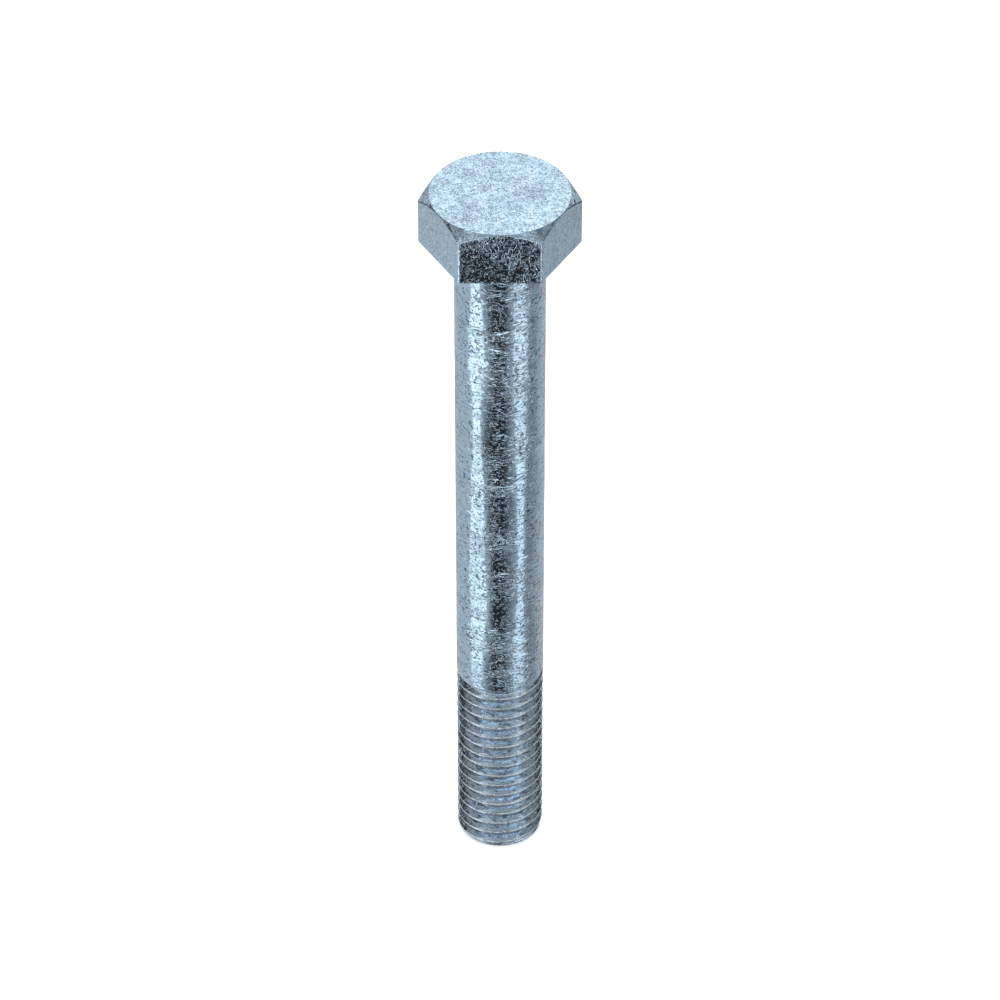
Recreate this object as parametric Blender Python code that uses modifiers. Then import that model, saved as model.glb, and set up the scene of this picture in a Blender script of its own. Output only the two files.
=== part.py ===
"""Hex bolt M12 x 1.75 x 100, partly threaded, bright zinc plated.

The real bolt is one steel forging. Its three working regions are modelled as three closed solids
that meet face to face: the hex head with its fillet and neck, the plain shank, and the threaded
shank down to the point.

Frame: metres, +Z along the axis towards the top of the head, origin in the middle of the bearing
plane under the head. Two of the wrench flats face -Y and +Y, two corners lie on -X and +X.
"""

import math

import bmesh
import bpy
from mathutils import Matrix

# Hex head
ACROSS_FLATS = 0.0180
HEAD_HEIGHT = 0.0075
CHAMFER_TOP_DIAMETER = 0.01786
CHAMFER_ANGLE = math.radians(42)
CORNER_OFFSET = 0.00015
CORNER_SEGMENTS = 2

# Neck, between the bearing plane and the plain shank
FILLET_RADIUS = 0.0006
FILLET_STEPS = 4
NECK_LENGTH = 0.0015

# Shank
LENGTH = 0.0993
SHANK_DIAMETER = 0.01176
PLAIN_LENGTH = 0.0690
SEGMENTS = 36

# Thread, right-hand
PITCH = 0.00175
NOMINAL_DIAMETER = 0.0120
CREST_DIAMETER = 0.0117
THREAD_DEPTH = 0.00092
FLANK_ANGLE = math.radians(30)
CREST_WIDTH = PITCH / 8 + (NOMINAL_DIAMETER - CREST_DIAMETER) * math.tan(FLANK_ANGLE)
FRONT_CREST_RISE = 0.00087  # from the point face to the first crest, on the -Y side
FRONT_TURN = 0.75  # the -Y side, as part of a turn from +X
SPARE_TURNS = 2  # wound past the point and past the plain shank, then cut off
RUNOUT_START = -0.0704
RUNOUT_LENGTH = 0.0020

# Point
POINT_DIAMETER = 0.0112
POINT_CHAMFER_HEIGHT = 0.0006
POINT_FADE_LENGTH = 0.0010

COLLECTION_NAME = "hex_bolt"
CUTTER_COLLECTION_NAME = "cutters"
ENVELOPE_SEGMENTS = 72
SMOOTH_ANGLE = math.radians(25)
WELD_DISTANCE = 1e-6

SHANK_RADIUS = SHANK_DIAMETER / 2
CREST_RADIUS = CREST_DIAMETER / 2
POINT_RADIUS = POINT_DIAMETER / 2
POINT_Z = -LENGTH
ZINC_BLUE = (0.60, 0.68, 0.76)


def clear_scene():
    for obj in list(bpy.data.objects):
        bpy.data.objects.remove(obj, do_unlink=True)


def new_collection(name):
    collection = bpy.data.collections.new(name)
    bpy.context.scene.collection.children.link(collection)
    return collection


def zinc(name, roughness, tint):
    """Bright zinc plate on steel."""
    material = bpy.data.materials.new(name)
    material.use_nodes = True
    shader = material.node_tree.nodes["Principled BSDF"]
    colour = [channel * tint for channel in ZINC_BLUE]
    shader.inputs["Base Color"].default_value = (*colour, 1.0)
    shader.inputs["Metallic"].default_value = 1.0
    shader.inputs["Roughness"].default_value = roughness
    return material


def object_from_bmesh(name, bm, collection):
    mesh = bpy.data.meshes.new(name)
    bm.to_mesh(mesh)
    bm.free()
    obj = bpy.data.objects.new(name, mesh)
    collection.objects.link(obj)
    return obj


def profile_object(name, points, collection):
    """An open outline in the XZ plane, as (radius, height) points."""
    mesh = bpy.data.meshes.new(name)
    vertices = [(radius, 0, height) for radius, height in points]
    edges = [(index, index + 1) for index in range(len(points) - 1)]
    mesh.from_pydata(vertices, edges, [])
    obj = bpy.data.objects.new(name, mesh)
    collection.objects.link(obj)
    return obj


def add_screw(obj, segments):
    screw = obj.modifiers.new("Turn", "SCREW")
    screw.axis = "Z"
    screw.steps = segments
    screw.render_steps = segments
    screw.use_merge_vertices = True
    screw.merge_threshold = WELD_DISTANCE
    return screw


def apply_modifiers(obj):
    """Replaces the mesh by its evaluated one, so that edges can be marked and vertices moved."""
    graph = bpy.context.evaluated_depsgraph_get()
    source = obj.data
    mesh = bpy.data.meshes.new_from_object(obj.evaluated_get(graph))
    obj.modifiers.clear()
    obj.data = mesh
    bpy.data.meshes.remove(source)
    mesh.name = obj.name


def turned(name, points, segments, collection):
    """A solid of revolution. The outline starts and ends on the axis and runs down the outside."""
    obj = profile_object(name, points, collection)
    add_screw(obj, segments)
    apply_modifiers(obj)
    return obj


def add_boolean(obj, other, operation):
    boolean = obj.modifiers.new(operation.title(), "BOOLEAN")
    boolean.operation = operation
    boolean.solver = "EXACT"
    boolean.object = other


def hide_cutter(obj):
    obj.hide_render = True
    obj.display_type = "WIRE"


def finish_part(obj, material, parent):
    obj.data.materials.clear()
    obj.data.materials.append(material)
    obj.data.shade_smooth()
    obj.data.set_sharp_from_angle(angle=SMOOTH_ANGLE)
    obj.parent = parent


def is_upright(edge):
    low, high = edge.verts
    return (low.co.xy - high.co.xy).length < WELD_DISTANCE


def hex_prism(name, collection):
    """The six-sided bar end, with its upright edges slightly rounded."""
    bm = bmesh.new()
    corner_radius = ACROSS_FLATS / math.sqrt(3)
    placed = Matrix.Translation((0, 0, HEAD_HEIGHT / 2)) @ Matrix.Rotation(math.pi / 6, 4, "Z")
    bmesh.ops.create_cone(
        bm,
        cap_ends=True,
        segments=6,
        radius1=corner_radius,
        radius2=corner_radius,
        depth=HEAD_HEIGHT,
        matrix=placed,
    )
    upright = [edge for edge in bm.edges if is_upright(edge)]
    bmesh.ops.bevel(
        bm,
        geom=upright,
        offset=CORNER_OFFSET,
        segments=CORNER_SEGMENTS,
        profile=0.5,
        affect="EDGES",
    )
    return object_from_bmesh(name, bm, collection)


def chamfer_envelope(collection):
    """The turned shape whose cone cuts the top corners of the hexagon."""
    top_radius = CHAMFER_TOP_DIAMETER / 2
    outer_radius = ACROSS_FLATS
    drop = (outer_radius - top_radius) * math.tan(CHAMFER_ANGLE)
    floor = -HEAD_HEIGHT
    outline = [
        (0, HEAD_HEIGHT),
        (top_radius, HEAD_HEIGHT),
        (outer_radius, HEAD_HEIGHT - drop),
        (outer_radius, floor),
        (0, floor),
    ]
    return turned("chamfer_envelope", outline, ENVELOPE_SEGMENTS, collection)


def neck_outline():
    """From inside the head, round the fillet and down to the end of the neck."""
    root = SHANK_RADIUS + FILLET_RADIUS
    outline = [(0, HEAD_HEIGHT / 2), (root, HEAD_HEIGHT / 2)]
    for step in range(FILLET_STEPS + 1):
        turn = math.pi / 2 * step / FILLET_STEPS
        radius = root - FILLET_RADIUS * math.sin(turn)
        height = -FILLET_RADIUS * (1 - math.cos(turn))
        outline.append((radius, height))
    outline.append((SHANK_RADIUS, -NECK_LENGTH))
    outline.append((0, -NECK_LENGTH))
    return outline


def make_hex_head(collection, cutters):
    head = hex_prism("hex_head", collection)
    envelope = chamfer_envelope(cutters)
    neck = turned("neck", neck_outline(), SEGMENTS, cutters)
    hide_cutter(envelope)
    hide_cutter(neck)
    add_boolean(head, envelope, "INTERSECT")
    add_boolean(head, neck, "UNION")
    apply_modifiers(head)
    return head


def make_plain_shank(collection):
    outline = [
        (0, -NECK_LENGTH),
        (SHANK_RADIUS, -NECK_LENGTH),
        (SHANK_RADIUS, -PLAIN_LENGTH),
        (0, -PLAIN_LENGTH),
    ]
    return turned("plain_shank", outline, SEGMENTS, collection)


def smooth_step(value):
    value = min(max(value, 0.0), 1.0)
    return value * value * (3 - 2 * value)


def groove_strength(height):
    """1 where the groove is full, fading to 0 at the run-out and just above the point."""
    above = smooth_step((RUNOUT_START - height) / RUNOUT_LENGTH)
    below = smooth_step((height - POINT_Z) / POINT_FADE_LENGTH)
    return above * below


def envelope_radius(height):
    """The blank's outer radius: shank size, rolled down to the crests, chamfered at the point."""
    rolled = smooth_step((RUNOUT_START - height) / RUNOUT_LENGTH)
    blank = SHANK_RADIUS + (CREST_RADIUS - SHANK_RADIUS) * rolled
    rise = (height - POINT_Z) / POINT_CHAMFER_HEIGHT
    chamfer = POINT_RADIUS + (CREST_RADIUS - POINT_RADIUS) * max(rise, 0.0)
    return min(blank, chamfer)


def thread_outline(start):
    """One pitch of the thread: crest, lower flank, root, upper flank."""
    flank_rise = THREAD_DEPTH * math.tan(FLANK_ANGLE)
    root_radius = CREST_RADIUS - THREAD_DEPTH
    return [
        (CREST_RADIUS, start),
        (CREST_RADIUS, start + CREST_WIDTH),
        (root_radius, start + CREST_WIDTH + flank_rise),
        (root_radius, start + PITCH - flank_rise),
        (CREST_RADIUS, start + PITCH),
    ]


def wind_thread(collection):
    """The outline wound up the shank as a helical surface, from below the point to above the split."""
    first_crest = POINT_Z + FRONT_CREST_RISE - FRONT_TURN * PITCH
    start = first_crest - CREST_WIDTH / 2 - SPARE_TURNS * PITCH
    turns = math.ceil((-PLAIN_LENGTH - start) / PITCH) + SPARE_TURNS
    obj = profile_object("threaded_shank", thread_outline(start), collection)
    screw = add_screw(obj, SEGMENTS)
    screw.screw_offset = PITCH
    screw.iterations = turns
    apply_modifiers(obj)
    return obj


def shape_thread(bm):
    """Fades the groove at both ends and follows the blank's envelope."""
    for vertex in bm.verts:
        radius = vertex.co.xy.length
        depth = (CREST_RADIUS - radius) * groove_strength(vertex.co.z)
        vertex.co.xy *= (envelope_radius(vertex.co.z) - depth) / radius


def close_at(bm, height, normal_z):
    """Cuts the surface square at a height, drops what lies beyond and caps the cut."""
    cut = bmesh.ops.bisect_plane(
        bm,
        geom=bm.verts[:] + bm.edges[:] + bm.faces[:],
        dist=WELD_DISTANCE,
        plane_co=(0, 0, height),
        plane_no=(0, 0, normal_z),
        clear_outer=True,
    )
    rim = [item for item in cut["geom_cut"] if isinstance(item, bmesh.types.BMVert)]
    for vertex in rim:
        vertex.co.z = height
    edges = [item for item in cut["geom_cut"] if isinstance(item, bmesh.types.BMEdge)]
    bmesh.ops.contextual_create(bm, geom=edges)
    return rim


def make_threaded_shank(collection):
    thread = wind_thread(collection)
    bm = bmesh.new()
    bm.from_mesh(thread.data)
    bmesh.ops.remove_doubles(bm, verts=bm.verts, dist=WELD_DISTANCE)
    shape_thread(bm)
    close_at(bm, -PLAIN_LENGTH, 1)
    for vertex in close_at(bm, POINT_Z, -1):
        vertex.co.xy *= POINT_RADIUS / vertex.co.xy.length
    bmesh.ops.recalc_face_normals(bm, faces=bm.faces)
    bm.to_mesh(thread.data)
    bm.free()
    return thread


def main():
    clear_scene()
    collection = new_collection(COLLECTION_NAME)
    cutters = new_collection(CUTTER_COLLECTION_NAME)
    bolt = bpy.data.objects.new("bolt_frame", None)
    collection.objects.link(bolt)
    finish_part(make_hex_head(collection, cutters), zinc("head_zinc", 0.34, 1.0), bolt)
    finish_part(make_plain_shank(collection), zinc("shank_zinc", 0.30, 0.97), bolt)
    finish_part(make_threaded_shank(collection), zinc("thread_zinc", 0.38, 0.90), bolt)


main()
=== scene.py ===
"""Looks of the hex bolt: forged head, plain shank and rolled thread in bright blue zinc plate.

Metres, in the frame of the CAD model: +Z along the bolt towards its head, origin in the middle of
the bearing plane under the head. The bolt stands on its point.
"""

import math

import bmesh
import bpy
import numpy as np
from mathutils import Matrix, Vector, noise


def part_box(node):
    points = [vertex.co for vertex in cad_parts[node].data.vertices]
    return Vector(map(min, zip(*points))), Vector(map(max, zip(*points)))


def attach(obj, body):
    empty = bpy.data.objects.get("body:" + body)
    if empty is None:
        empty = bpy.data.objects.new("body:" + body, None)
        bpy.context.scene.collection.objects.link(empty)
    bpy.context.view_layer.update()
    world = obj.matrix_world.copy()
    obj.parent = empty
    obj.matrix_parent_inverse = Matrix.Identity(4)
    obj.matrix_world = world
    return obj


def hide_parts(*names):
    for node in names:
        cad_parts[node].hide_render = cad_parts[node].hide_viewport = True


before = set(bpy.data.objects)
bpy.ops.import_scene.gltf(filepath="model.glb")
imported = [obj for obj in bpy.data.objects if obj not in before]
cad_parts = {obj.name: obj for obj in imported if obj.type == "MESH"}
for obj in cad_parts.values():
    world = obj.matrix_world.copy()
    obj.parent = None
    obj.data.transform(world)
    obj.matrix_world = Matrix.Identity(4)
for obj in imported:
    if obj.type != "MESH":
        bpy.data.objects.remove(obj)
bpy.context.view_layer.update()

MM = 0.001
BODY = "root"

# Sizes read from the CAD model
HEAD_LOW, HEAD_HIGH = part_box("hex_head")
SHANK_LOW, SHANK_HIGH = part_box("plain_shank")
THREAD_LOW, THREAD_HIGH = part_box("threaded_shank")
HALF_FLATS = HEAD_HIGH.y
HEAD_TOP = HEAD_HIGH.z
NECK_END = HEAD_LOW.z
THREAD_TOP = THREAD_HIGH.z
POINT_Z = THREAD_LOW.z
SHANK_RADIUS = SHANK_HIGH.x

# Head
CHAMFER_TOP_RADIUS = 8.93 * MM
CHAMFER_SLOPE = math.tan(math.radians(42))
CORNER_RADIUS = 0.50 * MM
TOP_EDGE_RADIUS = 0.10 * MM
ARRIS_RADIUS = 0.45 * MM
BOTTOM_EDGE_RADIUS = 0.12 * MM
FILLET_RADIUS = 0.60 * MM

# Thread, right-hand
PITCH = 1.75 * MM
NOMINAL_RADIUS = 6.0 * MM
CREST_RADIUS = 5.85 * MM
THREAD_DEPTH = 0.92 * MM
FLANK_TAN = math.tan(math.radians(30))
CREST_WIDTH = PITCH / 8 + 2 * (NOMINAL_RADIUS - CREST_RADIUS) * FLANK_TAN
FRONT_CREST_RISE = 0.87 * MM  # of the first crest over the end of the point, on the -Y side
FRONT_TURN = 0.75  # the -Y side, as part of a turn from +X
RUNOUT_START = -70.4 * MM
RUNOUT_LENGTH = 2.0 * MM
POINT_RADIUS = 5.60 * MM
POINT_CHAMFER_HEIGHT = 0.6 * MM
POINT_FADE_LENGTH = 1.0 * MM
CREST_SOFTNESS = 0.07 * MM
ROOT_SOFTNESS = 0.07 * MM
SPARE_TURNS = 2  # wound past the end of the point, then cut off
CUT_TOLERANCE = 0.0001 * MM

# Length and depth of each set of waves that rolling and forging left in the blank
DENTS = ((6.0 * MM, 0.048 * MM), (2.2 * MM, 0.018 * MM), (0.8 * MM, 0.008 * MM))
HEAD_DENT_SHARE = 0.4

# Zinc plate. Noise scales are per metre and heights are in millimetres.
ZINC = (0.58, 0.78, 0.96)
SWAY_SCALE = 260
SWELL_SCALE = 600
WOBBLE_SCALE = 3800
GRAIN_SCALE = 2200
SCRATCH_SCALE = 2600
PATCH_SCALE = 420
CLOUD_SCALE = 260
SMEAR_SCALE = 900
STREAK_SCALE = 2600
PIT_HEIGHT = 0.046
PIMPLE_HEIGHT = 0.042
SWELL_HEIGHT = 0.026
WOBBLE_HEIGHT = 0.006
SCRATCH_HEIGHT = 0.034
SCRATCH_DIRECTIONS = ((0.0, 0.11), (0.55, 0.37), (-0.8, 0.53))
THREAD_RELIEF = 0.6
THREAD_TINT = (0.60, 0.76, 0.91, 1)
# Painted highlight: a brighter colour on the thread's crests
PAINTED_CREST_HIGHLIGHT = (0.82, 0.93, 1.0, 1)
# Painted shade: a darker colour in the roots of the thread grooves
PAINTED_ROOT_SHADE = (0.33, 0.38, 0.44, 1)
DARK_STREAK = (0.16, 0.20, 0.25, 1)

# Of each region: roughness, height of the slow sway, stretch of the grain and of the scratches along
# each axis, strength of the scratches, and how much of the zinc's brightness its pits keep under dirt and
# painted shade.
HEAD_FINISH = {
    "roughness": 0.07, "sway": 0.08, "grain": (1.7, 1.7, 1.3),
    "scratch": (1.0, 1.0, 0.45), "scratch_strength": 0.8, "pit_dirt_and_shade": 0.7,
}
SHANK_FINISH = {
    "roughness": 0.06, "sway": 0.3, "grain": (0.95, 0.95, 1.15),
    "scratch": (0.30, 0.30, 1.0), "scratch_strength": 1.0, "pit_dirt_and_shade": 0.30,
}
THREAD_FINISH = {
    "roughness": 0.06, "sway": 0.3, "grain": (1.2, 1.2, 1.4),
    "scratch": (0.30, 0.30, 1.0), "scratch_strength": 1.0, "pit_dirt_and_shade": 0.28,
}

# Camera, which looks down at the bolt from the front
CAMERA_ELEVATION = math.radians(39.377)
CAMERA_DISTANCE = 628.9 * MM
CAMERA_AIM = Vector((0, 0, -42.14 * MM))
CAMERA_SENSOR = 36
LENS_PER_SENSOR_WIDTH = 4.7858

# Studio
FLOOR_SIZE = 6.0
FLOOR_WHITE = 0.9
FLOOR_GLOW = 0.45
SOFTBOX_SIZE = 1.2
SOFTBOX_HEIGHT = 1.0
SOFTBOX_WATTS = 8

SHARP_EDGE = math.radians(50)


# ---------------------------------------------------------------- meshes

def mesh_from_rings(name, rings):
    """A closed skin through rings of equal point count, listed from the top down."""
    count = len(rings[0])
    points = np.concatenate(rings)
    start = np.arange(count)
    following = (start + 1) % count
    faces = []
    for index in range(len(rings) - 1):
        low, high = index * count, (index + 1) * count
        quads = np.stack([low + start, high + start, high + following, low + following], axis=1)
        faces.extend(quads.tolist())
    points = points.tolist()
    top_centre = len(points)
    bottom_centre = top_centre + 1
    points.append(np.mean(rings[0], axis=0).tolist())
    points.append(np.mean(rings[-1], axis=0).tolist())
    last = (len(rings) - 1) * count
    for a, b in zip(start.tolist(), following.tolist()):
        faces.append([top_centre, a, b])
        faces.append([bottom_centre, last + b, last + a])
    mesh = bpy.data.meshes.new(name)
    mesh.from_pydata(points, [], faces)
    mesh.validate()
    obj = bpy.data.objects.new(name, mesh)
    bpy.context.scene.collection.objects.link(obj)
    return obj


def ring(radii, angles, height):
    heights = np.broadcast_to(height, angles.shape)
    return np.stack([radii * np.cos(angles), radii * np.sin(angles), heights], axis=1)


# ---------------------------------------------------------------- head

SECTOR = math.pi / 3
HALF_CORNERS = HALF_FLATS / math.cos(SECTOR / 2)


def head_angles(flat_steps=44, corner_steps=8):
    """Directions round the hexagon, close together where the corners are round."""
    near_corner = 1.6 * CORNER_RADIUS * math.tan(SECTOR / 2) / HALF_CORNERS
    along_flat = np.linspace(near_corner, SECTOR - near_corner, flat_steps + 1)
    along_corner = np.linspace(-near_corner, near_corner, corner_steps + 1)[1:-1]
    one = np.concatenate([along_corner, along_flat])
    return np.concatenate([one + SECTOR * index for index in range(6)])


def hexagon_radius(angles):
    """Distance from the axis to the hexagon's side. It has a rounded corner on +X and on -X."""
    turn = np.mod(angles, SECTOR)
    from_corner = np.minimum(turn, SECTOR - turn)
    flat = HALF_FLATS / np.cos(SECTOR / 2 - from_corner)
    centre = HALF_CORNERS - CORNER_RADIUS / math.cos(SECTOR / 2)
    off = centre * np.sin(from_corner)
    arc = centre * np.cos(from_corner) + np.sqrt(np.maximum(CORNER_RADIUS**2 - off**2, 0))
    tangent_x = centre + CORNER_RADIUS * math.cos(SECTOR / 2)
    tangent_y = CORNER_RADIUS * math.sin(SECTOR / 2)
    return np.where(from_corner < math.atan2(tangent_y, tangent_x), arc, flat)


def rounded_corner(before, corner, after, radius, steps):
    """Rows of points on the arc that rounds a corner, one point for each section."""
    into = before - corner
    out = after - corner
    into /= np.linalg.norm(into, axis=-1, keepdims=True)
    out /= np.linalg.norm(out, axis=-1, keepdims=True)
    half = np.arccos(np.clip((into * out).sum(-1), -1, 1)) / 2
    reach = (radius / np.tan(half))[..., None]
    bisector = into + out
    bisector /= np.linalg.norm(bisector, axis=-1, keepdims=True)
    centre = corner + bisector * (radius / np.sin(half))[..., None]
    first = corner + into * reach - centre
    last = corner + out * reach - centre
    spread = np.arccos(np.clip((first * last).sum(-1) / radius**2, -1, 1))[..., None]
    rows = []
    for step in range(steps + 1):
        share = step / steps
        blend = np.sin((1 - share) * spread) * first + np.sin(share * spread) * last
        rows.append(centre + blend / np.sin(spread))
    return rows


def head_rings():
    """Sections from the middle of the top, over the chamfer and flat, under the head to the neck."""
    angles = head_angles()
    side = hexagon_radius(angles)
    ones = np.ones_like(side)
    top_edge = np.stack([CHAMFER_TOP_RADIUS * ones, HEAD_TOP * ones], axis=1)
    drop = (side - CHAMFER_TOP_RADIUS) * CHAMFER_SLOPE
    arris = np.stack([side, HEAD_TOP - drop], axis=1)
    bottom = np.stack([side, 0 * ones], axis=1)
    middle = np.stack([0 * ones, HEAD_TOP * ones], axis=1)
    root = np.stack([(SHANK_RADIUS + FILLET_RADIUS) * ones, 0 * ones], axis=1)

    def between(first, last, steps, ends=False):
        shares = np.linspace(0, 1, steps + 1)
        shares = shares if ends else shares[1:-1]
        return [first + (last - first) * share for share in shares]

    # The chamfer is narrowest in the middle of a flat, so the radii of its two edges shrink there.
    chamfer_width = np.linalg.norm(arris - top_edge, axis=1)
    edge_radius = np.minimum(TOP_EDGE_RADIUS, 1.17 * chamfer_width)
    arris_radius = np.minimum(ARRIS_RADIUS, 0.99 * chamfer_width)
    over_top = rounded_corner(middle, top_edge, arris, edge_radius, 4)
    over_arris = rounded_corner(top_edge, arris, bottom, arris_radius, 4)
    over_bottom = rounded_corner(arris, bottom, root, BOTTOM_EDGE_RADIUS * ones, 4)
    rows = between(middle, over_top[0], 44, ends=True)[1:-1]
    rows += over_top
    rows += between(over_top[-1], over_arris[0], 7)
    rows += over_arris
    rows += between(over_arris[-1], over_bottom[0], 34)
    rows += over_bottom
    rows += between(over_bottom[-1], root, 14)
    for step in range(9):
        turn = math.pi / 2 * step / 8
        radius = SHANK_RADIUS + FILLET_RADIUS * (1 - math.sin(turn))
        height = -FILLET_RADIUS * (1 - math.cos(turn))
        rows.append(np.stack([radius * ones, height * ones], axis=1))
    neck_end = np.stack([SHANK_RADIUS * ones, NECK_END * ones], axis=1)
    rows += between(rows[-1], neck_end, 5)
    rows.append(neck_end)
    return [ring(row[:, 0], angles, row[:, 1]) for row in rows]


# ---------------------------------------------------------------- shank and thread

def shank_rings(steps=230, rows=420):
    angles = np.linspace(0, 2 * math.pi, steps, endpoint=False)
    heights = np.linspace(SHANK_HIGH.z, SHANK_LOW.z, rows + 1)
    return [ring(SHANK_RADIUS, angles, height) for height in heights]


def smooth_step(value):
    value = np.clip(value, 0, 1)
    return value * value * (3 - 2 * value)


def groove_depth(share):
    """Depth of the thread groove, share being the part of a pitch from one crest to the next."""
    from_crest = np.minimum(share, 1 - share) * PITCH
    flank = (from_crest - CREST_WIDTH / 2) / FLANK_TAN
    rounded = CREST_SOFTNESS * np.log1p(np.exp(flank / CREST_SOFTNESS))
    left = THREAD_DEPTH - rounded
    return THREAD_DEPTH - ROOT_SOFTNESS * np.log1p(np.exp(left / ROOT_SOFTNESS))


def thread_points(steps, outline_steps):
    """Columns of points, each the outline of one pitch, which climb round the axis as a helix."""
    first_crest = POINT_Z + FRONT_CREST_RISE - (FRONT_TURN + SPARE_TURNS) * PITCH
    turns = math.ceil((THREAD_TOP - first_crest) / PITCH) + 1
    shares = np.linspace(0, 1, outline_steps, endpoint=False)
    angles = np.arange(steps * turns + 1) * 2 * math.pi / steps
    base = first_crest + PITCH * angles / (2 * math.pi)
    heights = base[:, None] + PITCH * shares[None, :]
    depth = groove_depth(np.broadcast_to(shares, heights.shape))
    rolled = smooth_step((RUNOUT_START - heights) / RUNOUT_LENGTH)
    strength = rolled * smooth_step((heights - POINT_Z) / POINT_FADE_LENGTH)
    blank = SHANK_RADIUS + (CREST_RADIUS - SHANK_RADIUS) * rolled
    rise = np.maximum((heights - POINT_Z) / POINT_CHAMFER_HEIGHT, 0)
    chamfer = POINT_RADIUS + (CREST_RADIUS - POINT_RADIUS) * rise
    radii = np.minimum(blank, chamfer) - depth * strength
    x = radii * np.cos(angles)[:, None]
    y = radii * np.sin(angles)[:, None]
    return np.stack([x, y, heights], axis=2).reshape(-1, 3)


def thread_faces(columns, steps, outline_steps):
    """Quads from each column of points to the next."""
    def index(column, row):
        """Row outline_steps of a column is row 0 of the column one turn further on."""
        if row == outline_steps:
            return (column + steps) * outline_steps
        return column * outline_steps + row

    faces = []
    for column in range(columns - 1 - steps):
        for row in range(outline_steps):
            faces.append((
                index(column, row), index(column + 1, row),
                index(column + 1, row + 1), index(column, row + 1),
            ))
    return faces


def make_thread(steps=192, outline_steps=14):
    """A helical skin, cut square at both ends and capped."""
    points = thread_points(steps, outline_steps)
    bm = bmesh.new()
    vertices = [bm.verts.new(point) for point in points]
    for face in thread_faces(len(points) // outline_steps, steps, outline_steps):
        bm.faces.new([vertices[i] for i in face])
    loose = [vertex for vertex in bm.verts if not vertex.link_faces]
    bmesh.ops.delete(bm, geom=loose, context="VERTS")
    for height, normal, target in ((THREAD_TOP, 1, None), (POINT_Z, -1, POINT_RADIUS)):
        cut = bmesh.ops.bisect_plane(
            bm, geom=bm.verts[:] + bm.edges[:] + bm.faces[:], dist=CUT_TOLERANCE,
            plane_co=(0, 0, height), plane_no=(0, 0, normal), clear_outer=True,
        )["geom_cut"]
        for vertex in [item for item in cut if isinstance(item, bmesh.types.BMVert)]:
            vertex.co.z = height
            if target:
                vertex.co.xy *= target / vertex.co.xy.length
        outline = [item for item in cut if isinstance(item, bmesh.types.BMEdge)]
        bmesh.ops.contextual_create(bm, geom=outline)
    bmesh.ops.recalc_face_normals(bm, faces=bm.faces)
    mesh = bpy.data.meshes.new("bolt_thread")
    bm.to_mesh(mesh)
    bm.free()
    obj = bpy.data.objects.new("bolt_thread", mesh)
    bpy.context.scene.collection.objects.link(obj)
    return obj


# ---------------------------------------------------------------- dents

def dent(obj, share=1.0):
    """Presses shallow waves into a skin, inwards only."""
    vertices = obj.data.vertices
    normals = [vertex.normal.copy() for vertex in vertices]
    for vertex, normal in zip(vertices, normals):
        place = vertex.co
        depth = sum(height * (noise.noise(place / length) + 1) / 2 for length, height in DENTS)
        towards_axis = Vector((-place.x, -place.y, 0)).normalized()
        inward = towards_axis if place.z < 0 else -normal
        vertex.co = place + inward * depth * share


# ---------------------------------------------------------------- nodes

class Nodes:
    """Short calls for building a node tree."""

    def __init__(self, tree):
        self.tree = tree

    def add(self, kind, values=(), **settings):
        node = self.tree.nodes.new(kind)
        for name, value in settings.items():
            setattr(node, name, value)
        for name, value in dict(values).items():
            self.set(node.inputs[name], value)
        return node

    def set(self, socket, value):
        if isinstance(value, bpy.types.NodeSocket):
            self.tree.links.new(value, socket)
        else:
            socket.default_value = value

    def math(self, operation, *values):
        node = self.add("ShaderNodeMath", operation=operation)
        for socket, value in zip(node.inputs, values):
            self.set(socket, value)
        return node.outputs[0]

    def noise(self, vector, scale, detail=2.0, roughness=0.5, distortion=0.0):
        node = self.add("ShaderNodeTexNoise", {
            "Vector": vector, "Scale": scale, "Detail": detail,
            "Roughness": roughness, "Distortion": distortion,
        })
        return node.outputs["Fac"]

    def ramp(self, factor, stops):
        """Stops are (position, grey value)."""
        node = self.add("ShaderNodeValToRGB", {"Fac": factor})
        elements = node.color_ramp.elements
        while len(elements) < len(stops):
            elements.new(0.5)
        for element, (position, value) in zip(elements, stops):
            element.position = position
            element.color = (value, value, value, 1)
        return node.outputs["Color"]


def mix_colours(nodes, factor, first, second):
    node = nodes.add("ShaderNodeMix", {"Factor": factor}, data_type="RGBA", blend_type="MIX")
    for socket, value in zip(node.inputs[6:8], (first, second)):
        nodes.set(socket, value)
    return node.outputs[2]


def stretched(nodes, place, scale, move=(0.0, 0.0, 0.0), turn=(0.0, 0.0, 0.0)):
    """The place, scaled along each axis. A scale under 1 makes a pattern longer along that axis."""
    node = nodes.add("ShaderNodeMapping", {
        "Vector": place, "Location": move, "Rotation": turn, "Scale": scale,
    })
    return node.outputs["Vector"]


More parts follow.
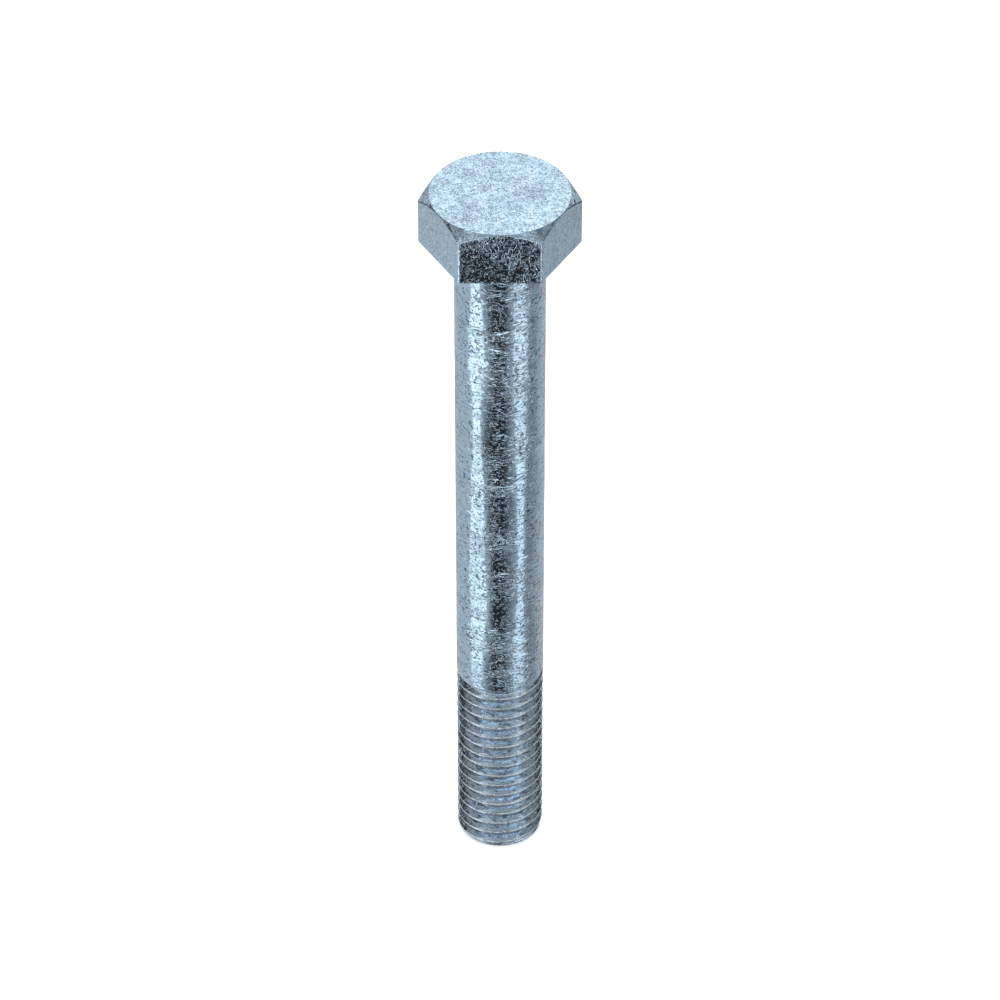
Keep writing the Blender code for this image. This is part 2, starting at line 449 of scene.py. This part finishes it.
def zinc_relief(nodes, place, denser, fine, rolled, finish):
    """Height of the plate's skin: sway, swell and wobble, then pits, pimples and scratches."""
    sway = nodes.noise(stretched(nodes, place, (1.0, 1.0, 0.3)), SWAY_SCALE, 0.0)
    swell = nodes.noise(place, SWELL_SCALE, 1.0, 0.5)
    wobble = nodes.noise(place, WOBBLE_SCALE, 1.0, 0.5, 0.5)
    pits = nodes.ramp(fine, [(0.35, 0), (0.40, 1)])
    elsewhere = stretched(nodes, place, (1.0, 1.0, 1.0), move=(0.31, 0.17, 0.23))
    other = nodes.math("ADD", nodes.noise(elsewhere, GRAIN_SCALE, 1.0, 0.5, 0.6), denser)
    pimples = nodes.ramp(other, [(0.59, 0), (0.64, 1)])
    height = nodes.math("MULTIPLY", sway, finish["sway"])
    height = nodes.math("MULTIPLY_ADD", swell, SWELL_HEIGHT, height)
    height = nodes.math("MULTIPLY_ADD", wobble, WOBBLE_HEIGHT, height)
    height = nodes.math("MULTIPLY_ADD", pits, PIT_HEIGHT, height)
    height = nodes.math("MULTIPLY_ADD", pimples, PIMPLE_HEIGHT, height)
    for lean, spot in SCRATCH_DIRECTIONS:
        along = stretched(nodes, place, finish["scratch"], move=(spot, 0.0, 0.0), turn=(0.0, lean, 0.3))
        lines = nodes.noise(along, SCRATCH_SCALE, 0.5, 0.5, 0.3)
        gate = nodes.ramp(nodes.noise(along, PATCH_SCALE, 1.0, 0.5), [(0.53, 0), (0.58, 1)])
        cut = nodes.math("MULTIPLY", nodes.ramp(lines, [(0.48, 1), (0.56, 0)]), gate)
        height = nodes.math("MULTIPLY_ADD", cut, SCRATCH_HEIGHT * finish["scratch_strength"], height)
    relief = nodes.math("MULTIPLY_ADD", rolled, THREAD_RELIEF - 1, 1.0)
    return nodes.math("MULTIPLY", height, relief)


def thread_colour(nodes, place, cloud, patches, rolled, surface):
    """Duller flanks with dark streaks along the thread, painted shade in the roots and a painted highlight
    on the crests.
    """
    flat_place = nodes.add("ShaderNodeVectorMath", {0: place, 1: (1.0, 1.0, 0.0)}, operation="MULTIPLY")
    radius = nodes.add("ShaderNodeVectorMath", {0: flat_place.outputs[0]}, operation="LENGTH")
    rise = nodes.add("ShaderNodeMapRange", {
        "Value": radius.outputs["Value"], "From Min": CREST_RADIUS - THREAD_DEPTH, "From Max": CREST_RADIUS,
    }).outputs[0]
    rise = nodes.math("ADD", rise, nodes.math("MULTIPLY_ADD", cloud, 0.3, -0.15))
    # Painted highlight: the crests get a brighter colour.
    crest_highlight = nodes.math("MULTIPLY", nodes.ramp(rise, [(0.90, 0), (1.0, 1)]), rolled)
    crest_highlight = nodes.math("MULTIPLY", crest_highlight, nodes.ramp(patches, [(0.36, 0.3), (0.50, 1)]))
    # Painted shade: the groove roots get a darker colour.
    root_shade = nodes.math("MULTIPLY", nodes.ramp(rise, [(0.02, 1), (0.30, 0)]), rolled)
    along = stretched(nodes, place, (0.3, 0.3, 1.3))
    streaks = nodes.ramp(nodes.noise(along, STREAK_SCALE, 1.0, 0.5, 0.3), [(0.58, 0), (0.66, 0.8)])
    streaks = nodes.math("MULTIPLY", streaks, nodes.ramp(rise, [(0.75, 1), (0.95, 0)]))
    streaks = nodes.math("MULTIPLY", streaks, rolled)
    surface = mix_colours(nodes, rolled, surface, THREAD_TINT)
    surface = mix_colours(nodes, crest_highlight, surface, PAINTED_CREST_HIGHLIGHT)
    surface = mix_colours(nodes, root_shade, surface, PAINTED_ROOT_SHADE)
    return mix_colours(nodes, streaks, surface, DARK_STREAK)


def zinc(name, finish, threaded=False):
    """Bright zinc plate: crinkled at the scale of a third of a millimetre, pitted and scratched."""
    material = bpy.data.materials.new(name)
    material.use_nodes = True
    tree = material.node_tree
    nodes = Nodes(tree)
    shader = tree.nodes["Principled BSDF"]
    place = nodes.add("ShaderNodeTexCoord").outputs["Object"]

    patches = nodes.noise(place, PATCH_SCALE, 2.0, 0.6)
    denser = nodes.math("MULTIPLY_ADD", patches, 0.20, -0.10)
    grain = nodes.noise(stretched(nodes, place, finish["grain"]), GRAIN_SCALE, 1.0, 0.5, 0.6)
    fine = nodes.math("ADD", grain, denser)
    along_bolt = nodes.add("ShaderNodeSeparateXYZ", {"Vector": place}).outputs["Z"]
    rolled = nodes.add("ShaderNodeMapRange", {
        "Value": along_bolt, "From Min": RUNOUT_START, "From Max": RUNOUT_START - RUNOUT_LENGTH / 2,
    }).outputs["Result"]
    height = zinc_relief(nodes, place, denser, fine, rolled, finish)
    bumped = nodes.add("ShaderNodeBump", {"Strength": 1.0, "Distance": MM, "Height": height})

    def shade(tone):
        return (*[channel * tone for channel in ZINC], 1)

    cloud = nodes.noise(place, CLOUD_SCALE, 4.0, 0.6)
    clouded = nodes.ramp(cloud, [(0.3, 0), (0.7, 1)])
    # Dirt and painted shade: the zinc is darkened in its pits.
    outside_pits = nodes.ramp(fine, [(0.345, 0), (0.38, 1)])
    surface = mix_colours(nodes, clouded, shade(0.90), shade(1.0))
    surface = mix_colours(nodes, outside_pits, shade(finish["pit_dirt_and_shade"]), surface)
    if threaded:
        surface = thread_colour(nodes, place, cloud, patches, rolled, surface)
    smear = nodes.add("ShaderNodeMapRange", {
        "Value": nodes.noise(place, SMEAR_SCALE, 3.0, 0.6), "From Min": 0.3, "From Max": 0.7,
        "To Min": finish["roughness"] * 0.8, "To Max": finish["roughness"] * 1.25,
    })
    nodes.set(shader.inputs["Metallic"], 1.0)
    nodes.set(shader.inputs["Base Color"], surface)
    nodes.set(shader.inputs["Roughness"], smear.outputs["Result"])
    nodes.set(shader.inputs["Normal"], bumped.outputs["Normal"])
    return material


# ---------------------------------------------------------------- studio

# Rings of the studio from the floor up: lower and upper edge of the ring as sines of elevation,
# then (azimuth in degrees, brightness), azimuth 0 being towards the camera and 90 to the right.
STUDIO = (
    (-1.00, -0.88, [(-180, .4), (-60, .3), (0, .10), (60, .3), (180, .4)]),
    (-0.82, -0.68, [
        (-180, .52), (-150, .56), (-120, .58), (-90, .56), (-82, .58), (-78, 1.1), (-46, 1.1), (-42, .50),
        (-36, .38), (-28, .16), (-18, .03), (10, .025), (15, .08), (26, .22), (38, .40), (43, .95),
        (62, .95), (67, .40), (76, .24), (90, .22), (104, .30), (120, .46), (134, .54), (180, .54),
    ]),
    (-0.62, -0.60, [
        (-180, .52), (-150, .56), (-120, .58), (-90, .56), (-82, .58), (-78, 1.4), (-46, 1.4), (-42, .52),
        (-36, .40), (-28, .16), (-18, .03), (10, .025), (15, .07), (26, .20), (38, .42), (43, 1.15),
        (62, 1.15), (67, .40), (76, .24), (90, .22), (104, .30), (120, .46), (134, .54), (180, .54),
    ]),
    (-0.59, -0.47, [
        (-180, .50), (-150, .53), (-120, .54), (-94, .52), (-86, .58), (-82, 1.45), (-46, 1.45), (-42, .52),
        (-36, .40), (-28, .16), (-18, .03), (10, .025), (15, .07), (26, .20), (38, .42), (43, 1.2),
        (67, 1.2), (72, .40), (82, .24), (104, .30), (120, .44), (134, .50), (180, .50),
    ]),
    (-0.40, -0.32, [
        (-180, .50), (-155, .45), (-142, .04), (-40, .05), (-22, 1.35), (18, 1.35), (36, .05), (142, .04),
        (155, .45), (180, .50),
    ]),
    (-0.27, -0.03, [
        (-180, .45), (-155, .40), (-140, .04), (-100, .04), (-85, .8), (-35, 1.2), (-15, .8), (15, .8),
        (35, 1.2), (85, .8), (100, .04), (140, .04), (155, .40), (180, .45),
    ]),
    (0.02, 0.22, [
        (-180, .50), (-162, .40), (-150, .67), (-130, .67), (-118, .06), (-90, .06), (-60, .4), (60, .4),
        (90, .06), (118, .06), (130, .67), (150, .67), (162, .40), (180, .50),
    ]),
    (0.28, 0.50, [
        (-180, 1.00), (-160, .80), (-140, .04), (-100, .04), (-75, .10), (-52, .80), (-20, .3), (20, .3),
        (52, .80), (75, .10), (100, .04), (140, .04), (160, .80), (180, 1.00),
    ]),
    (0.66, 0.82, [
        (-180, 1.45), (-150, 1.3), (-132, .3), (-112, .32), (-80, .34), (-71, .14), (-58, .80), (-48, .70),
        (-20, .3), (20, .3), (48, .70), (58, .80), (71, .14), (80, .30), (112, .2), (132, .3), (150, 1.3),
        (180, 1.45),
    ]),
    (0.97, 1.00, [(-180, .36), (180, .36)]),
)


def make_world():
    """A soft studio: bright behind the bolt, two bright cards low at its sides, dark in front.

    The bolt reflects the rings. Seen past the bolt, the world is plain white.
    """
    world = bpy.data.worlds.new("studio")
    bpy.context.scene.world = world
    world.use_nodes = True
    tree = world.node_tree
    tree.nodes.clear()
    nodes = Nodes(tree)
    direction = nodes.add("ShaderNodeTexCoord").outputs["Generated"]
    xyz = nodes.add("ShaderNodeSeparateXYZ", {"Vector": direction}).outputs
    forward = nodes.math("MULTIPLY", xyz["Y"], -1.0)
    azimuth = nodes.math("ARCTAN2", xyz["X"], forward)
    turn = nodes.math("MULTIPLY_ADD", azimuth, 1 / (2 * math.pi), 0.5)
    rise = nodes.math("MULTIPLY_ADD", xyz["Z"], 0.5, 0.5)

    def ring_light(stops):
        return nodes.ramp(turn, [(degrees / 360 + 0.5, value) for degrees, value in stops])

    _, below, lowest_stops = STUDIO[0]
    brightness = ring_light(lowest_stops)
    for low, high, stops in STUDIO[1:]:
        above = nodes.ramp(rise, [(below / 2 + 0.5, 0), (low / 2 + 0.5, 1)])
        brightness = mix_colours(nodes, above, brightness, ring_light(stops))
        below = high
    backdrop = nodes.add("ShaderNodeBackground", {"Color": (1, 1, 1, 1), "Strength": 1.0})
    studio = nodes.add("ShaderNodeBackground", {"Color": brightness, "Strength": 1.0})
    seen = nodes.add("ShaderNodeLightPath").outputs["Is Camera Ray"]
    mixed = nodes.add("ShaderNodeMixShader", {"Fac": seen})
    nodes.set(mixed.inputs[1], studio.outputs[0])
    nodes.set(mixed.inputs[2], backdrop.outputs[0])
    output = nodes.add("ShaderNodeOutputWorld")
    nodes.set(output.inputs["Surface"], mixed.outputs[0])


def make_floor():
    """A pale floor under the bolt's point, which the bolt doesn't reflect."""
    half = FLOOR_SIZE / 2
    corners = [(x, y, POINT_Z) for x, y in ((-half, -half), (half, -half), (half, half), (-half, half))]
    mesh = bpy.data.meshes.new("floor")
    mesh.from_pydata(corners, [], [(0, 1, 2, 3)])
    floor = bpy.data.objects.new("floor", mesh)
    bpy.context.scene.collection.objects.link(floor)
    material = bpy.data.materials.new("floor_white")
    material.use_nodes = True
    shader = material.node_tree.nodes["Principled BSDF"]
    shader.inputs["Base Color"].default_value = (FLOOR_WHITE, FLOOR_WHITE, FLOOR_WHITE, 1)
    shader.inputs["Roughness"].default_value = 0.9
    shader.inputs["Specular IOR Level"].default_value = 0.0
    shader.inputs["Emission Color"].default_value = (1, 1, 1, 1)
    shader.inputs["Emission Strength"].default_value = FLOOR_GLOW
    mesh.materials.append(material)
    floor.visible_glossy = False


def make_overhead():
    """A softbox over the bolt, which gives the floor its faint shadow."""
    light = bpy.data.lights.new("overhead_softbox", "AREA")
    light.shape = "DISK"
    light.size = SOFTBOX_SIZE
    light.energy = SOFTBOX_WATTS
    lamp = bpy.data.objects.new("overhead_softbox", light)
    lamp.location = (0, 0, SOFTBOX_HEIGHT)
    lamp.visible_glossy = False
    bpy.context.scene.collection.objects.link(lamp)


def make_camera():
    """A long lens, aimed at the middle of the bolt."""
    back = Vector((0, -math.cos(CAMERA_ELEVATION), math.sin(CAMERA_ELEVATION)))
    camera = bpy.data.cameras.new("camera")
    camera.sensor_width = CAMERA_SENSOR
    camera.lens = LENS_PER_SENSOR_WIDTH * CAMERA_SENSOR
    camera.clip_start = 0.01
    obj = bpy.data.objects.new("camera", camera)
    obj.location = CAMERA_AIM + back * CAMERA_DISTANCE
    obj.rotation_euler = (math.pi / 2 - CAMERA_ELEVATION, 0, 0)
    bpy.context.scene.collection.objects.link(obj)
    bpy.context.scene.camera = obj


# ---------------------------------------------------------------- assembly

def dress(obj, node, material):
    """Gives a piece its material, and puts it in its node's place."""
    obj.data.materials.append(material)
    obj.data.shade_smooth()
    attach(obj, BODY)
    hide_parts(node)


make_camera()
make_world()
make_floor()
make_overhead()

head = mesh_from_rings("bolt_head", head_rings())
dent(head, HEAD_DENT_SHARE)
dress(head, "hex_head", zinc("zinc_head", HEAD_FINISH))

shank = mesh_from_rings("bolt_shank", shank_rings())
dent(shank)
dress(shank, "plain_shank", zinc("zinc_shank", SHANK_FINISH))
shank.data.set_sharp_from_angle(angle=SHARP_EDGE)

thread = make_thread()
dent(thread)
dress(thread, "threaded_shank", zinc("zinc_thread", THREAD_FINISH, threaded=True))
thread.data.set_sharp_from_angle(angle=SHARP_EDGE)

bpy.context.scene.view_settings.view_transform = "Standard"
